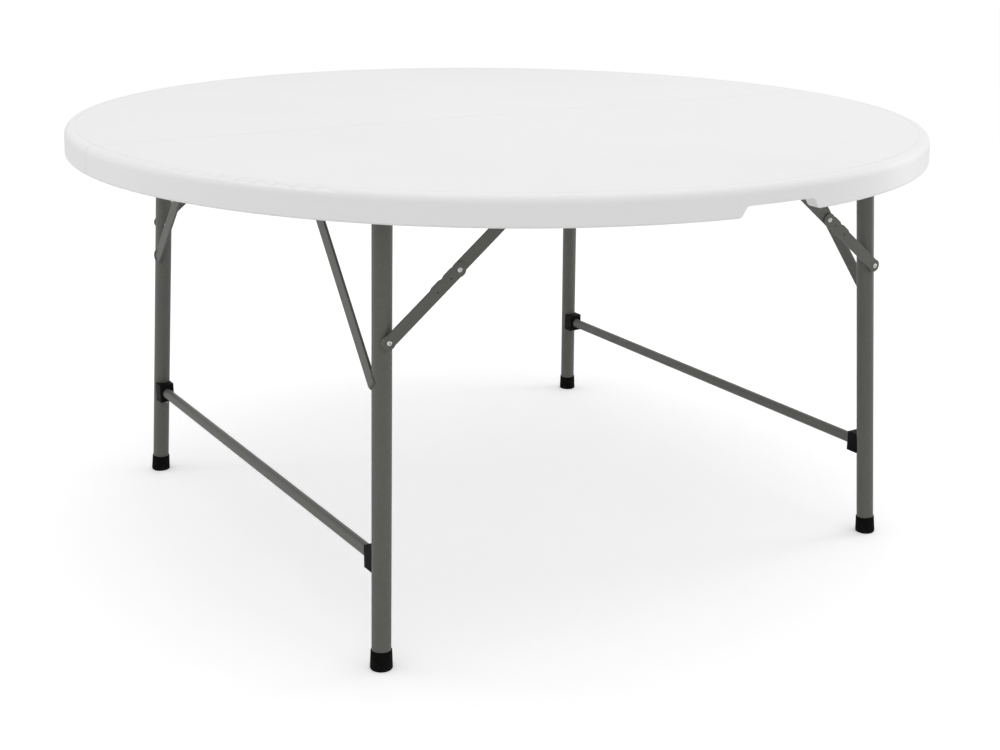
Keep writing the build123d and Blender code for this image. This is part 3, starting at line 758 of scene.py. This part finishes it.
swell = maths(welding, "ADD", swell, spread(welding, wander.outputs[0], 0.3, 0.7, 0.8, 1.2))
ring = put(welding, "GeometryNodeCurvePrimitiveCircle", {"Resolution": 10, "Radius": given["Bead Radius"]})
bead = put(welding, "GeometryNodeCurveToMesh", {
    "Curve": path.outputs[0], "Profile Curve": ring.outputs[0], "Scale": swell, "Fill Caps": True})
bead = put(welding, "GeometryNodeRealizeInstances", {"Geometry": bead.outputs[0]})
painted = put(welding, "GeometryNodeSetMaterial", {"Geometry": bead.outputs[0], "Material": given["Finish"]})
welding.links.new(painted.outputs[0], result["Geometry"])

# %% Where the welds run
foot_reach, side_lean, end_lean = 0.501984, 0.0521, 0.0618
frame_reach = {"left": 0.479012, "right": 0.489012}
leg_radius, pivot_radius = 15 * MM, 11 * MM
hinge_reach, hinge_height = 0.448202, 0.706
leg_top_rise = 9 * MM
diagonal_foot_height, diagonal_top_reach, diagonal_half_width = 0.434, 0.224, 11 * MM
diagonal_foot_offset, diagonal_top_offset = 12.8 * MM, 33 * MM
diagonal_top_height = hinge_height - 3 * MM
tab_half_thickness = 2 * MM
reach_round, bead_lift = leg_radius * 0.8, 0.4 * MM
weld_steps = 40


def leg_axis(reach, height):
    return foot_reach - side_lean * height, reach - end_lean * height


def pivot_weld(reach):
    # Down one side of the pivot tube and up the other, on the skin of both tubes
    top_angle = asin(leg_top_rise / pivot_radius)
    halves = ([], [])
    for step in range(weld_steps + 1):
        angle = top_angle - (top_angle + pi / 2.0) * step / weld_steps
        reach_x = hinge_reach + pivot_radius * cos(angle)
        height = hinge_height + pivot_radius * sin(angle)
        axis_x, axis_y = leg_axis(reach, height)
        inside = leg_radius ** 2 - (reach_x - axis_x) ** 2
        if inside > 0.0:
            for half, sign in zip(halves, (-1.0, 1.0)):
                half.append(Vector((reach_x, axis_y + sign * sqrt(inside), height)))
    return halves[0] + halves[1][::-1]


def bar_point(reach, along, across):
    # A point of a diagonal's middle plane, measured from its foot
    axis_x, axis_y = leg_axis(reach, diagonal_foot_height)
    foot = Vector((axis_x + diagonal_foot_offset, axis_y, diagonal_foot_height))
    top = Vector((hinge_reach + diagonal_top_offset, diagonal_top_reach, diagonal_top_height))
    way = (top - foot).normalized()
    side = Vector((1.0, 0.0, 0.0)).cross(way).normalized()
    return foot + way * along + side * across


def foot_weld(reach):
    # Along the lower end of a diagonal and up its outer edge, on the skin of the leg
    outline = [
        (5.0, 8.0), (5.0, 4.0), (5.0, -1.0), (5.2, -6.0), (6.5, -9.3), (9.5, -11.0), (15.0, -11.0), (23.0, -11.0)]
    points = []
    for along, across in outline:
        point = bar_point(reach, along * MM, across * MM)
        axis_x, axis_y = leg_axis(reach, point.z)
        sideways = max(-reach_round, min(reach_round, point.y - axis_y))
        point.x = axis_x + sqrt(leg_radius ** 2 - sideways ** 2) + bead_lift
        points.append(point)
    return points


def tab_welds():
    # Above and below a diagonal's tab, where it meets the pivot tube
    seams = []
    for lift in (-tab_half_thickness, tab_half_thickness):
        height = diagonal_top_height + lift
        reach_x = hinge_reach + sqrt(pivot_radius ** 2 - (height - hinge_height) ** 2)
        ends = (-diagonal_half_width, diagonal_half_width)
        seams.append([Vector((reach_x, diagonal_top_reach + end, height)) for end in ends])
    return seams


# %% Weld beads on both leg frames
for side, sign in (("left", -1.0), ("right", 1.0)):
    reach = frame_reach[side]
    seams = [pivot_weld(reach), foot_weld(reach)] + tab_welds()
    points, edges = [], []
    for seam in seams:
        for end in (-1.0, 1.0):
            start = len(points)
            points += [Vector((point.x * sign, point.y * end, point.z)) for point in seam]
            edges += [(index, index + 1) for index in range(start, len(points) - 1)]
    mesh = bpy.data.meshes.new(side + "_weld_beads")
    mesh.from_pydata(points, edges, [])
    piece = new_piece(side + "_weld_beads", mesh, "grey_powder_coat")
    grow(piece, welding, {"Finish": finishes["grey_powder_coat"]})
    shape = bmesh.new()
    shape.from_mesh(piece.data)
    bmesh.ops.remove_doubles(shape, verts=shape.verts, dist=MERGE)
    bmesh.ops.recalc_face_normals(shape, faces=shape.faces)
    shape.to_mesh(piece.data)
    shape.free()
    piece.data.shade_smooth()
    keep(piece, side + "_frame", "grey_powder_coat")
